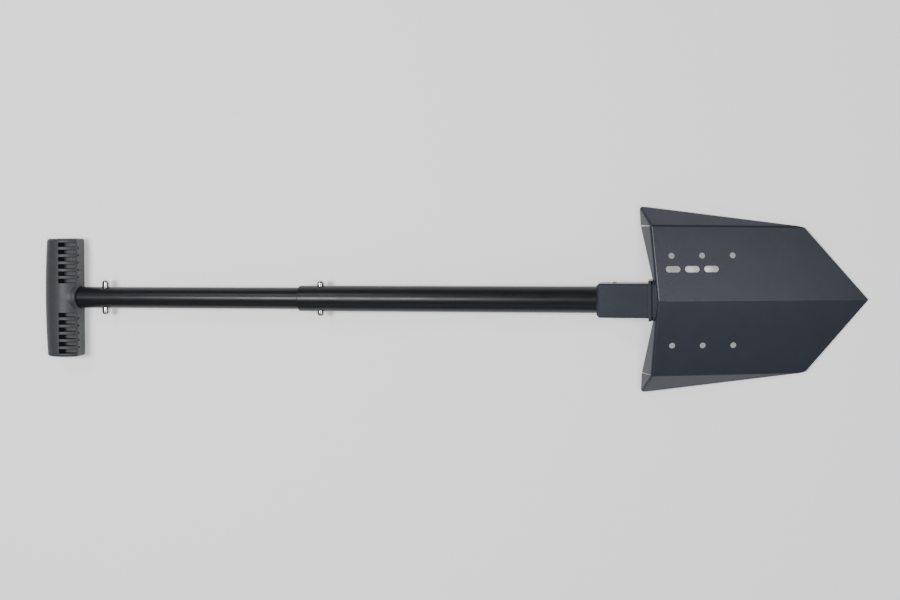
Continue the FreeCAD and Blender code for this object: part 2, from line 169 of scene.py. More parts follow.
class ShovelGrip(bpy.types.PropertyGroup):
    """The moulded T-grip"""
    span: length("Span", 0.143, "Length of the bar")
    palm: length("Palm", -0.7383, "Furthest point of the palm side")
    widest: length("Widest", -0.712, "Where the section is thickest")
    front: length("Front", -0.693, "Flat front side")
    half_thick: length("Half thickness", 0.017, "Half of the section's thickness")
    front_half: length("Front half", 0.0091, "Half of the flat front's thickness")
    bow: length("Bow", 0.0027, "The palm side's ends stand forward of its middle")
    shoulder: length("Shoulder", 0.0018, "Bulge between the widest place and the front")
    end_round: length("End rounding", 0.003, "Rounding of the bar's ends")
    neck: length("Neck radius", 0.017, "Neck round the upper tube")
    neck_round: length("Neck rounding", 0.0022, "Rounding of the neck's front rim")
    neck_ring: length("Neck ring", 0.0065, "Length of the raised ring at the neck's mouth")
    seam: length("Seam", 0.0006, "Gap between the neck and the tube at the neck's mouth")
    pocket_width: length("Pocket width", 0.0057, "Width of each pocket")
    pocket_first: length("First pocket", 0.0206, "Shaft to the first pocket")
    pocket_pitch: length("Pocket pitch", 0.00875, "Spacing of the pockets")
    pocket_rear: length("Pocket rear", -0.714, "Rear end of the pockets")
    pocket_front: length("Pocket front", -0.6944, "Front end of the pockets")
    web: length("Web", 0.0022, "Half of the wall between upper and lower pockets")
    pockets: IntProperty(name="Pockets", description="Pockets on each side of the neck", default=6,
                         min=1)
    notch: length("Notch", 0.0022, "Small notches between the pockets, in the front's upper edge")
    rivet_at: length("Rivet", -0.706, "Place of the rivet along the shaft")
    rivet_head: length("Rivet head", 0.0046, "Radius of the rivet's head")
    rivet_foot: length("Rivet foot", 0.0164, "Shaft's axis to the underside of the head")
    rivet_end: length("Rivet end", 0.0096, "Shaft's axis to the rivet's inner end")
    rivet_shank: length("Rivet shank", 0.0024, "Radius of the rivet's shank")
    edge: length("Moulded edge", 0.0005, "Rounding of the moulding's edges")


class ShovelColours(bpy.types.PropertyGroup):
    """Base colours"""
    coat: colour("Powder coat", "#262a34", "Charcoal with a trace of blue")
    coat_light: colour("Powder coat, light", "#2d323d", "Lighter flecks of the coating")
    tube: colour("Anodised tube", "#141518", "Black anodised aluminium")
    tube_light: colour("Anodised tube, light", "#1e2023", "Die lines in the anodising")
    button: colour("Button", "#c9c8c4", "Polished stainless steel")
    spring: colour("Spring", "#4a4e58", "Blued spring steel")
    grip: colour("Grip", "#2a2d2f", "Dark grey nylon")
    grip_light: colour("Grip, light", "#393d40", "Glass fibre showing at the surface")
    plug: colour("Plug", "#151617", "Black polyethylene")
    rivet: colour("Rivet", "#9a9b9c", "Plain aluminium")
    floor: colour("Floor", "#fbfbfb", "Studio paper")


def shaft_place():
    """Matrix from the shaft's own axes to the row frame, read from the frame."""
    slide = next(j for j in frame["joints"] if j["name"] == "shaft_slide")
    ahead = Vector(slide["axis"])
    left = Vector((0, 1, 0))
    low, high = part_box("socket_collar")
    place = Matrix((ahead, left, ahead.cross(left))).transposed().to_4x4()
    place.translation = (low + high) / 2 - ahead * COLLAR_MIDDLE
    return place


SHAFT = shaft_place()


# ---- making meshes ----
def add_piece(name, mesh):
    piece = bpy.data.objects.new(name, mesh)
    bpy.context.scene.collection.objects.link(piece)
    return piece


def piece_from(name, points, faces, place=Matrix()):
    """A piece from points and faces, with its place in its mesh and its faces outwards."""
    mesh = bpy.data.meshes.new(name)
    mesh.from_pydata([place @ Vector(p) for p in points], [], faces)
    shape = bmesh.new()
    shape.from_mesh(mesh)
    bmesh.ops.remove_doubles(shape, verts=shape.verts, dist=1e-7)
    bmesh.ops.recalc_face_normals(shape, faces=shape.faces)
    shape.to_mesh(mesh)
    shape.free()
    return add_piece(name, mesh)


def bake(piece):
    """Turns a piece's modifiers into a plain mesh."""
    graph = bpy.context.evaluated_depsgraph_get()
    old = piece.data
    mesh = bpy.data.meshes.new_from_object(piece.evaluated_get(graph))
    piece.modifiers.clear()
    piece.data = mesh
    bpy.data.meshes.remove(old)


def modify(piece, kind, **settings):
    """Adds one modifier with its settings, and makes its result the piece's mesh."""
    modifier = piece.modifiers.new(kind.lower(), kind)
    for key, value in settings.items():
        setattr(modifier, key, value)
    bake(piece)


def combine(piece, tools, operation="DIFFERENCE"):
    """Cuts the tools out of a piece, or joins them to it, and deletes them."""
    for tool in tools:
        modify(piece, "BOOLEAN", operation=operation, solver="MANIFOLD", object=tool)
        bpy.data.objects.remove(tool)


def join(name, pieces):
    """One piece from the meshes of several."""
    shape = bmesh.new()
    for piece in pieces:
        shape.from_mesh(piece.data)
        bpy.data.objects.remove(piece)
    mesh = bpy.data.meshes.new(name)
    shape.to_mesh(mesh)
    shape.free()
    return add_piece(name, mesh)


def round_edges(piece, width, segments=2, sharp=math.radians(35)):
    """Rounds a piece's sharp edges."""
    modify(piece, "BEVEL", width=width, segments=segments, limit_method="ANGLE",
           angle_limit=sharp, use_clamp_overlap=True, miter_outer="MITER_ARC")


def smooth(piece, sharp=math.radians(40)):
    """Shades a piece smooth, apart from edges sharper than an angle."""
    piece.data.shade_smooth()
    piece.data.set_sharp_from_angle(angle=sharp)
    modify(piece, "WEIGHTED_NORMAL", keep_sharp=True, weight=100)


def between_rings(count, rows):
    """Quads that join rows of rings of points, each ring to the next."""
    return [(row + i, row + (i + 1) % count, row + count + (i + 1) % count, row + count + i)
            for row in range(0, rows * count, count) for i in range(count)]


def block(name, low, high, place=Matrix()):
    """A rectangular block between two corners."""
    points = [(x, y, z) for x in (low[0], high[0]) for y in (low[1], high[1])
              for z in (low[2], high[2])]
    faces = [(0, 1, 3, 2), (4, 6, 7, 5), (0, 4, 5, 1), (2, 3, 7, 6), (0, 2, 6, 4), (1, 5, 7, 3)]
    return piece_from(name, points, faces, place)


def turned(name, profile, place=Matrix(), segments=96):
    """A solid of revolution about X. The profile is a closed list of (along, radius)."""
    points = []
    for k in range(segments):
        turn = 2 * math.pi * k / segments
        points += [(x, r * math.cos(turn), r * math.sin(turn)) for x, r in profile]
    count = len(profile)
    faces = []
    for k in range(segments):
        here, there = k * count, (k + 1) % segments * count
        for i in range(count):
            j = (i + 1) % count
            if profile[i][1] == 0 and profile[j][1] == 0:
                continue
            faces.append((here + i, here + j, there + j, there + i))
    return piece_from(name, points, faces, place)


def square_bar(name, side, corner, rear, front, mouth=0.0):
    """A square bar along the shaft with rounded long edges, its rear rim bevelled by mouth."""
    half = side / 2 - corner
    steps = 6
    ring = []
    for quarter, (cy, cz) in enumerate([(half, half), (-half, half), (-half, -half), (half, -half)]):
        for k in range(steps + 1):
            turn = math.pi / 2 * (quarter + k / steps)
            ring.append((cy + corner * math.cos(turn), cz + corner * math.sin(turn)))
    count = len(ring)
    shrink = 1 - 2 * mouth / side
    points = [(rear, y * shrink, z * shrink) for y, z in ring]
    points += [(x, y, z) for x in ((rear + mouth, front) if mouth else (front,)) for y, z in ring]
    rows = len(points) // count - 1
    ends = [tuple(range(count)), tuple(range(rows * count, (rows + 1) * count))]
    return piece_from(name, points, between_rings(count, rows) + ends, SHAFT)


def cross_hole(at, radius):
    """A cutter across the shaft, through both walls."""
    half = 0.04
    place = SHAFT @ Matrix.Translation((at, 0, 0)) @ Matrix.Rotation(math.pi / 2, 4, "Z")
    return turned("hole_cutter", [(-half, 0), (-half, radius), (half, radius), (half, 0)], place, 48)


# ---- node trees ----
def add_node(tree, kind, settings=None, inputs=None):
    """Adds a node. Settings are its own properties; inputs are values or sockets to link."""
    node = tree.nodes.new(kind)
    for key, value in (settings or {}).items():
        setattr(node, key, value)
    for key, value in (inputs or {}).items():
        if isinstance(value, bpy.types.NodeSocket):
            tree.links.new(value, node.inputs[key])
        else:
            node.inputs[key].default_value = value
    return node


def row_tree():
    """Geometry nodes that repeat a shape along a straight line, with a small seeded unevenness."""
    tree = bpy.data.node_groups.new("shovel_row", "GeometryNodeTree")
    sockets = [("Geometry", "NodeSocketGeometry"), ("Count", "NodeSocketInt"),
               ("Start", "NodeSocketVector"), ("Step", "NodeSocketVector"),
               ("Unevenness", "NodeSocketFloat"), ("Seed", "NodeSocketInt"),
               ("Material", "NodeSocketMaterial")]
    for name, kind in sockets:
        tree.interface.new_socket(name, in_out="INPUT", socket_type=kind)
    tree.interface.new_socket("Geometry", in_out="OUTPUT", socket_type="NodeSocketGeometry")
    given = add_node(tree, "NodeGroupInput").outputs
    line = add_node(tree, "GeometryNodeMeshLine", {"mode": "OFFSET"},
                    {"Count": given["Count"], "Start Location": given["Start"],
                     "Offset": given["Step"]})
    least = add_node(tree, "ShaderNodeMath", {"operation": "SUBTRACT"}, {0: 1.0, 1: given["Unevenness"]})
    size = add_node(tree, "FunctionNodeRandomValue", {"data_type": "FLOAT"},
                    {"Min": least.outputs[0], "Max": 1.0, "Seed": given["Seed"]})
    each = add_node(tree, "GeometryNodeInstanceOnPoints", None,
                    {"Points": line.outputs[0], "Instance": given["Geometry"],
                     "Scale": size.outputs["Value"]})
    real = add_node(tree, "GeometryNodeRealizeInstances", None, {"Geometry": each.outputs[0]})
    painted = add_node(tree, "GeometryNodeSetMaterial", None,
                       {"Geometry": real.outputs[0], "Material": given["Material"]})
    add_node(tree, "NodeGroupOutput", None, {"Geometry": painted.outputs[0]})
    return tree


def in_row(piece, count, start, step, material, unevenness=0.0, seed=1):
    """Repeats a piece along a line, and moves the whole row from the shaft's axes to its place."""
    tree = bpy.data.node_groups.get("shovel_row") or row_tree()
    modifier = piece.modifiers.new("row", "NODES")
    modifier.node_group = tree
    values = {"Count": count, "Start": start, "Step": step, "Unevenness": unevenness, "Seed": seed,
              "Material": material}
    for item in tree.interface.items_tree:
        if item.in_out == "INPUT" and item.name in values:
            modifier[item.identifier] = values[item.name]
    bake(piece)
    piece.data.transform(SHAFT)
    return piece


# ---- materials ----
def start_material(name):
    """A material with a principled shader, and its object coordinates."""
    material = bpy.data.materials.new(name)
    material.use_nodes = True
    tree = material.node_tree
    tree.nodes.clear()
    shader = add_node(tree, "ShaderNodeBsdfPrincipled")
    add_node(tree, "ShaderNodeOutputMaterial", None, {"Surface": shader.outputs["BSDF"]})
    coordinates = add_node(tree, "ShaderNodeTexCoord").outputs["Object"]
    return material, tree, shader, coordinates


def speckle(tree, coordinates, size, stretch=(1, 1, 1), detail=3.0):
    """Noise whose features are about size metres across, stretched along the axes."""
    mapped = add_node(tree, "ShaderNodeMapping", None,
                      {"Vector": coordinates, "Scale": [1 / (size * s) for s in stretch]})
    return add_node(tree, "ShaderNodeTexNoise", None,
                    {"Vector": mapped.outputs[0], "Scale": 1.0, "Detail": detail}).outputs["Fac"]


def tint(tree, shader, factor, dark, light):
    """Mixes two colours by a pattern into the base colour."""
    mix = add_node(tree, "ShaderNodeMix", {"data_type": "RGBA"}, {"Factor": factor})
    mix.inputs[6].default_value = list(dark)
    mix.inputs[7].default_value = list(light)
    tree.links.new(mix.outputs[2], shader.inputs["Base Color"])


def vary(tree, shader, socket, factor, low, high):
    """Maps a pattern to a range on one of the shader's sockets."""
    spread = add_node(tree, "ShaderNodeMapRange", None,
                      {"Value": factor, "From Min": 0.3, "From Max": 0.7, "To Min": low,
                       "To Max": high})
    tree.links.new(spread.outputs[0], shader.inputs[socket])


def relief(tree, shader, height, depth):
    """Bump of a real depth in metres."""
    bump = add_node(tree, "ShaderNodeBump", None, {"Height": height, "Distance": depth,
                                                   "Strength": 1.0})
    tree.links.new(bump.outputs[0], shader.inputs["Normal"])


def satin_powder_coat(colours):
    """Baked polyester powder on steel: satin, dark, with a soft orange-peel skin."""
    material, tree, shader, place = start_material("satin_powder_coat")
    shader.inputs["IOR"].default_value = 1.4
    # cloudy shade changes a few centimetres across, from the thickness of the powder
    tint(tree, shader, speckle(tree, place, 0.030), colours.coat, colours.coat_light)
    # orange peel is about 1 mm across, and is drawn twice as coarse so that it shows
    peel = speckle(tree, place, 0.002)
    vary(tree, shader, "Roughness", peel, 0.28, 0.36)
    relief(tree, shader, peel, 0.00003)
    return material


def black_anodised_drawn_aluminium(colours):
    """Drawn aluminium tube, black anodised: semi-gloss, with faint die lines along it."""
    material, tree, shader, place = start_material("black_anodised_drawn_aluminium")
    shader.inputs["IOR"].default_value = 1.34
    # die lines are about half a millimetre apart, and each shows for some 9 cm along the tube
    lines = speckle(tree, place, 0.0006, (150, 1, 1))
    tint(tree, shader, lines, colours.tube, colours.tube_light)
    scuffs = speckle(tree, place, 0.004, (6, 1, 1), 6.0)
    vary(tree, shader, "Roughness", scuffs, 0.27, 0.36)
    relief(tree, shader, lines, 0.000008)
    return material


def bare_metal(name, colour_, size, stretch, darker, rough):
    """A bare metal whose fine marks, of one size, darken it and change its gloss."""
    material, tree, shader, place = start_material(name)
    shader.inputs["Metallic"].default_value = 1.0
    marks = speckle(tree, place, size, stretch)
    tint(tree, shader, marks, [c * darker for c in colour_[:3]] + [1.0], colour_)
    vary(tree, shader, "Roughness", marks, *rough)
    return material


def polished_stainless_steel(colours):
    """Turned and polished stainless steel: mirror-like, with the faintest wipe marks."""
    return bare_metal("polished_stainless_steel", colours.button, 0.0008, (1, 5, 1), 0.86, (0.10, 0.22))


def blued_spring_steel(colours):
    """Rolled spring steel, heat blued: satin, with rolling lines."""
    return bare_metal("blued_spring_steel", colours.spring, 0.0005, (40, 1, 1), 0.7, (0.28, 0.42))


def glass_filled_nylon(colours):
    """Glass-filled nylon from a spark-eroded mould: matt and slightly frosted."""
    material, tree, shader, place = start_material("glass_filled_nylon")
    shader.inputs["IOR"].default_value = 1.53
    tint(tree, shader, speckle(tree, place, 0.006, detail=6.0), colours.grip, colours.grip_light)
    # spark erosion leaves pits of about 0.3 mm, drawn three times as coarse so that they show
    pits = speckle(tree, place, 0.0009, detail=5.0)
    vary(tree, shader, "Roughness", pits, 0.46, 0.62)
    relief(tree, shader, pits, 0.00006)
    return material


def black_polyethylene(colours):
    """Black polyethylene: waxy and plain, with a faint flow pattern."""
    material, tree, shader, place = start_material("black_polyethylene")
    shader.inputs["IOR"].default_value = 1.51
    flow = speckle(tree, place, 0.003)
    tint(tree, shader, flow, colours.plug, [c * 1.5 for c in colours.plug[:3]] + [1.0])
    vary(tree, shader, "Roughness", flow, 0.42, 0.55)
    return material


def pressed_aluminium(colours):
    """A pressed aluminium rivet: bare, satin, with small handling marks."""
    return bare_metal("pressed_aluminium", colours.rivet, 0.0007, (1, 1, 1), 0.75, (0.3, 0.45))


def studio_paper(colours):
    """White studio paper with a barely visible fibre."""
    material, tree, shader, place = start_material("studio_paper")
    fibre = speckle(tree, place, 0.004)
    tint(tree, shader, fibre, [c * 0.985 for c in colours.floor[:3]] + [1.0], colours.floor)
    shader.inputs["Roughness"].default_value = 0.9
    # the paper glows faintly, as if lit from below, so that the ground stays pale
    shader.inputs["Emission Color"].default_value = colours.floor
    shader.inputs["Emission Strength"].default_value = 0.4
    return material


def finish_of(maker):
    """The material of that maker's name, made when it is first asked for."""
    return bpy.data.materials.get(maker.__name__) or maker(bpy.context.scene.shovel_colours)


def paint(piece, maker):
    piece.data.materials.clear()
    piece.data.materials.append(finish_of(maker))


def coated(piece, rim, sharp=math.radians(50)):
    """Rounds a steel piece's rims as its coating does, and coats it."""
    round_edges(piece, rim, 2, sharp)
    smooth(piece)
    paint(piece, satin_powder_coat)
    return piece


# ---- blade ----
class BladeShape:
    """Corner points of one half of the folded sheet's upper skin, in the blade's own axes."""

    def __init__(self, blade, side):
        self.blade, self.side = blade, side
        self.rear = self.on_face(-blade.rear_sweep, blade.rear_half)
        self.front = self.on_face(blade.corner_at, blade.front_half)
        self.tip = Vector((blade.ridge_length, 0, 0))
        self.down = Vector((-math.sin(blade.flange_lean), 0, -math.cos(blade.flange_lean)))
        slant = blade.face_slope + blade.wing_bend
        out = Vector((0, side * math.cos(slant), -math.sin(slant)))
        wing = (self.front - self.rear).cross(out)
        flange = self.rear.cross(self.down)
        fold = wing.cross(flange).normalized()
        if fold.z > 0:
            fold = -fold
        self.corner = self.rear + fold * (blade.wing_width / abs(fold.dot(out)))
        self.flange_foot = self.rear + self.down * blade.flange_outer
        self.centre_foot = self.down * blade.flange_centre

    def on_face(self, along, across):
        slope = self.blade.face_slope
        return Vector((along, self.side * across * math.cos(slope), -across * math.sin(slope)))

    def rounded_corner(self):
        """Points round the wing's rear corner, from the wing's free edge to the tab's."""
        reach = self.blade.corner_round
        ways = [(end - self.corner).normalized() * reach
                for end in (self.front, self.rear, self.flange_foot)]
        wing, fold, tab = [self.corner + way * share for way, share in zip(ways, (1, 0.45, 1))]
        return [wing, (wing + fold) / 2 - ways[1] * 0.12, fold,
                (fold + tab) / 2 - ways[1] * 0.12, tab]


def blade_place(blade, shaft):
    """Matrix from the blade's own axes to the row frame."""
    top = Matrix.Translation((0, 0, shaft.socket_side / 2 + blade.sheet))
    return SHAFT @ top @ Matrix.Rotation(blade.lift, 4, "Y")


def folded_skin(blade):
    """The sheet's upper skin as flat faces that meet at the folds, and each fold's bend width."""
    shape = bmesh.new()
    weight = shape.edges.layers.float.new("bevel_weight_edge")
    found = {}

    def corner(point):
        key = tuple(round(c, 6) for c in point)
        if key not in found:
            found[key] = shape.verts.new(point)
        return found[key]

    folds = []
    widest = blade.fold_radius * math.tan(WIDEST_HALF_BEND)
    for side in (1, -1):
        half = BladeShape(blade, side)
        centre = Vector((0, 0, 0))
        wing_end, wing_mid, fold_end, tab_mid, tab_end = half.rounded_corner()
        outlines = [
            [centre, half.tip, half.front, half.rear],
            [half.rear, half.front, wing_end, wing_mid, fold_end],
            [half.rear, fold_end, tab_mid, tab_end, half.flange_foot],
            [centre, half.rear, half.flange_foot, half.centre_foot]]
        for outline in outlines:
            points = outline if side < 0 else outline[::-1]
            shape.faces.new([corner(p) for p in points])
        folds += [(centre, half.tip, blade.face_slope), (half.rear, half.front, blade.wing_bend / 2),
                  (centre, half.rear, math.pi / 4 - blade.flange_lean / 2),
                  (half.rear, fold_end, CORNER_HALF_BEND)]
    bmesh.ops.recalc_face_normals(shape, faces=shape.faces)
    if sum(f.normal.z * f.calc_area() for f in shape.faces) < 0:
        bmesh.ops.reverse_faces(shape, faces=shape.faces)
    shape.edges.ensure_lookup_table()
    for start, end, half_bend in folds:
        edge = shape.edges.get([corner(start), corner(end)])
        edge[weight] = min(1.0, blade.fold_radius * math.tan(half_bend) / widest)
    mesh = bpy.data.meshes.new("blade")
    shape.to_mesh(mesh)
    shape.free()
    return add_piece("blade", mesh), widest


def slot_cutter(width, extra=1e-5):
    """A cutter through the sheet with round ends, longer along X than its width by extra."""
    length_ = width + extra
    reach = length_ / 2 - width / 2
    steps = 12
    ring = []
    for end, turn in ((reach, -math.pi / 2), (-reach, math.pi / 2)):
        ring += [(end + width / 2 * math.cos(turn + math.pi * k / steps),
                  width / 2 * math.sin(turn + math.pi * k / steps)) for k in range(steps + 1)]
    points = [(x, y, z) for z in (-OVERRUN, OVERRUN) for x, y in ring]
    count = len(ring)
    ends = [tuple(range(count)), tuple(range(count, 2 * count))]
    return piece_from("slot_cutter", points, between_rings(count, 1) + ends)


def face_row(blade, shaft, side, cutter, first, pitch, across, count):
    """A row of cutters standing square to one half of the face."""
    place = blade_place(blade, shaft)
    tilt = Matrix.Rotation(-side * blade.face_slope, 4, "X")
    cutter.data.transform((SHAFT.inverted() @ place @ tilt).to_3x3().to_4x4())
    half = BladeShape(blade, side)
    to_shaft = SHAFT.inverted() @ place
    start = to_shaft @ half.on_face(first, across)
    step = to_shaft @ half.on_face(first + pitch, across) - start
    return in_row(cutter, count, start, step, finish_of(satin_powder_coat))


def make_blade(blade, shaft):
    """The folded sheet, with its holes, drain slots, saw cuts and relief slit."""
    piece, width = folded_skin(blade)
    modify(piece, "BEVEL", width=width, segments=6, limit_method="WEIGHT", use_clamp_overlap=False)
    modify(piece, "SOLIDIFY", thickness=blade.sheet, offset=-1, use_even_offset=True)
    place = blade_place(blade, shaft)
    piece.data.transform(place)
    tools = []
    for side in (1, -1):
        hole = slot_cutter(2 * blade.hole_radius)
        tools.append(face_row(blade, shaft, side, hole, blade.hole_first, blade.hole_pitch,
                              blade.hole_row, blade.holes))
        half = BladeShape(blade, side)
        middle = abs(half.rear.y) - SAW_INSET
        ends = sorted((side * (middle - blade.saw_cut / 2), side * (middle + blade.saw_cut / 2)))
        low = half.rear + Vector((-0.025, 0, -0.0625))
        high = half.rear + Vector((0.005, 0, -0.0025))
        tools.append(block("saw_cutter", (low.x, ends[0], low.z), (high.x, ends[1], high.z), place))
    slots = slot_cutter(blade.slot_width, blade.slot_length - blade.slot_width)
    tools.append(face_row(blade, shaft, 1, slots, blade.slot_first, blade.slot_pitch,
                          blade.slot_row, blade.slots))
    half_slit = blade.slit_width / 2
    tools.append(block("slit_cutter", (-0.03, -half_slit, -0.03),
                       (blade.slit_reach, half_slit, 0.03), place))
    # a small drilled hole ends the slit, so that the sheet doesn't tear
    drilled = slot_cutter(1.8 * blade.slit_width)
    drilled.data.transform(place @ Matrix.Translation((blade.slit_reach, 0, 0)))
    tools.append(drilled)
    # the flanges stop at the socket's sides
    side = shaft.socket_side / 2
    tools.append(block("socket_cutter", (-0.03, -side, -side), (NOTCH_REAR, side, side), SHAFT))
    combine(piece, tools)
    return coated(piece, blade.rim, math.radians(60))


# ---- socket ----
def make_socket(blade, shaft):
    """The square socket with its oblique end, cut to fit under the sheet."""
    piece = square_bar("socket", shaft.socket_side, SQUARE_CORNER, shaft.socket_mouth, BLANK_FRONT,
                       shaft.mouth_bevel)
    tools = [square_bar("bore_cutter", shaft.socket_bore, 0.0004, shaft.socket_mouth - OVERRUN,
                        BLANK_FRONT + OVERRUN),
             cross_hole(shaft.socket_at, shaft.button_hole)]
    combine(piece, tools + under_blade(blade, shaft) + [oblique_cutter(shaft, 0)])
    return coated(piece, 0.0004)


def under_blade(blade, shaft):
    """Cutters that trim the socket to the underside of each half of the face."""
    place = blade_place(blade, shaft)
    made = []
    for side in (1, -1):
        tilt = Matrix.Rotation(-side * blade.face_slope, 4, "X")
        ends = sorted((0, side * 0.08))
        made.append(block("face_cutter", (NOTCH_REAR, ends[0] - 0.001, -blade.sheet),
                          (0.1, ends[1] + 0.001, 0.06), place @ tilt))
    return made


def oblique_cutter(shaft, forward):
    """Everything in front of the socket's oblique end, moved forward."""
    side = shaft.socket_side / 2
    slope = Vector((shaft.mitre_high - shaft.mitre_low, 0, shaft.socket_side))
    tilt = Matrix.Rotation(math.atan2(slope.x, slope.z), 4, "Y")
    foot = Matrix.Translation((shaft.mitre_low, 0, -side))
    return block("oblique_cutter", (forward, -0.05, -0.06), (0.1, 0.05, 0.12), SHAFT @ foot @ tilt)


def make_end_plate(blade, shaft):
    """The plate that closes the socket's oblique end."""
    piece = square_bar("socket_end", shaft.socket_side, SQUARE_CORNER, -0.005, BLANK_FRONT)
    combine(piece, [oblique_cutter(shaft, shaft.end_plate)])
    combine(piece, [oblique_cutter(shaft, 0)], "INTERSECT")
    combine(piece, under_blade(blade, shaft))
    return coated(piece, 0.0003)


def make_collar(shaft):
    piece = square_bar("collar", shaft.collar_side, SQUARE_CORNER, shaft.collar_rear,
                       shaft.collar_front)
    combine(piece, [square_bar("inner_cutter", shaft.socket_side, SQUARE_CORNER,
                               shaft.collar_rear - OVERRUN, shaft.collar_front + OVERRUN)])
    return coated(piece, 0.0005)


def ripple(radius):
    """One frozen ripple of a weld bead: a flattened ball."""
    mesh = bpy.data.meshes.new("ripple")
    shape = bmesh.new()
    bmesh.ops.create_uvsphere(shape, u_segments=20, v_segments=10, radius=radius)
    shape.to_mesh(mesh)
    shape.free()
    return add_piece("ripple", mesh)


def make_welds(blade, shaft):
    """Rippled beads along the socket under the face, and up the flange beside the socket."""
    half = shaft.socket_side / 2
    to_shaft = SHAFT.inverted() @ blade_place(blade, shaft)
    # the beads' middles lie a little below the corner, so that none shows above the face
    drop = Vector((0, 0, half * math.tan(blade.face_slope) + blade.sheet + shaft.bead_radius * 0.45))
    beads = []
    for side in (1, -1):
        beside = Vector((0, side * half, 0))
        along = [to_shaft @ Vector((x, 0, 0)) + beside - drop for x in WELD_ALONG]
        foot = Vector((WELD_FOOT[0], side * half, WELD_FOOT[1]))
        lean = Vector((math.sin(blade.flange_lean), 0, math.cos(blade.flange_lean)))
        up = [foot, foot + lean * WELD_UP]
        for k, (start, end) in enumerate((along, up)):
            run = end - start
            count = int(run.length / shaft.bead_pitch) + 1
            beads.append(in_row(ripple(shaft.bead_radius), count, start,
                                run.normalized() * shaft.bead_pitch, finish_of(satin_powder_coat),
                                0.12, 3 + k + side))
    piece = join("weld_beads", beads)
    smooth(piece, math.radians(80))
    paint(piece, satin_powder_coat)
    return piece


# ---- shaft ----
def make_tube(name, radius, bore, rear, front, holes, shaft):
    """A tube with rounded rims and holes across it."""
    rim = shaft.chamfer
    profile = [(rear, bore), (rear, radius - rim), (rear + rim * 0.3, radius - rim * 0.3),
               (rear + rim, radius), (front - rim, radius), (front - rim * 0.3, radius - rim * 0.3),
               (front, radius - rim), (front, bore)]
    piece = turned(name, profile, SHAFT)
    combine(piece, [cross_hole(at, shaft.button_hole) for at in holes])
    smooth(piece, math.radians(30))
    paint(piece, black_anodised_drawn_aluminium)
    return piece


def make_button(name, at, side, shaft):
    """A turned button: chamfered foot, round shoulder and slightly crowned top."""
    foot, top, radius, dome = (shaft.button_foot, shaft.button_top, shaft.button_radius,
                               shaft.button_dome)
    steps = 10
    profile = [(foot, 0), (foot, radius - 0.0004), (foot + 0.0004, radius)]
    crown = 0.0004
    for k in range(steps + 1):
        turn = math.pi / 2 * k / steps
        profile.append((top - crown - dome + dome * math.sin(turn),
                        radius - dome + dome * math.cos(turn)))
    profile += [(top - crown * 0.3, (radius - dome) * 0.5), (top, 0)]
    place = SHAFT @ Matrix.Translation((at, 0, 0)) @ Matrix.Rotation(side * math.pi / 2, 4, "Z")
    piece = turned(name, profile, place, 64)
    smooth(piece, math.radians(50))
    paint(piece, polished_stainless_steel)
    return piece


# ---- grip ----
def grip_section(grip, bow, inset):
    """Points round the bar's section: a half oval palm, two bulged sides and a flat front."""
    deep = grip.widest - grip.palm - bow
    palm = [(grip.widest - deep * math.cos(t), grip.half_thick * math.sin(t))
            for t in [math.pi * (k / 36 - 0.5) for k in range(37)]]
    side = []
    for k in range(1, 9):
        share = k / 8
        bulge = 4 * share * (1 - share) * grip.shoulder
        side.append((grip.widest + (grip.front - grip.widest) * share,
                     grip.half_thick + (grip.front_half - grip.half_thick) * share + bulge))
    ring = palm + side + [(x, -z) for x, z in reversed(side)]
    middle = (grip.palm + bow + grip.front) / 2
    half_deep = (grip.front - grip.palm - bow) / 2
    shrink_x, shrink_z = 1 - inset / half_deep, 1 - inset / grip.half_thick
    return [(middle + (x - middle) * shrink_x, z * shrink_z) for x, z in ring]


def grip_bar(grip):
    """The bar, lofted across the shovel through its sections, its ends rounded."""
    half, round_ = grip.span / 2, grip.end_round
    ends = [half - round_ + round_ * math.sin(math.pi / 2 * k / 5) for k in range(6)]
    inner = [(half - round_) * k / 10 for k in range(10)]
    stations = sorted([-y for y in ends + inner[1:]] + inner + ends)
    points, count = [], 0
    for y in stations:
        over = max(0.0, abs(y) - (half - round_))
        inset = round_ - math.sqrt(max(0.0, round_ ** 2 - over ** 2))
        ring = grip_section(grip, grip.bow * (y / half) ** 2, inset)
        count = len(ring)
        points += [(x, y, z) for x, z in ring]
    ends = [tuple(range(count)), tuple(range(len(points) - count, len(points)))]
    return piece_from("t_grip", points, ends + between_rings(count, len(stations) - 1), SHAFT)


def pocket_cutter(grip, up):
    """One pocket, open at the bar's upper or lower side, with rounded edges."""
    low, high = sorted((up * grip.web, up * 0.03))
    half = grip.pocket_width / 2
    piece = block("pocket", (grip.pocket_rear, -half, low), (grip.pocket_front, half, high))
    modify(piece, "BEVEL", width=POCKET_ROUND, segments=2, limit_method="ANGLE")
    return piece


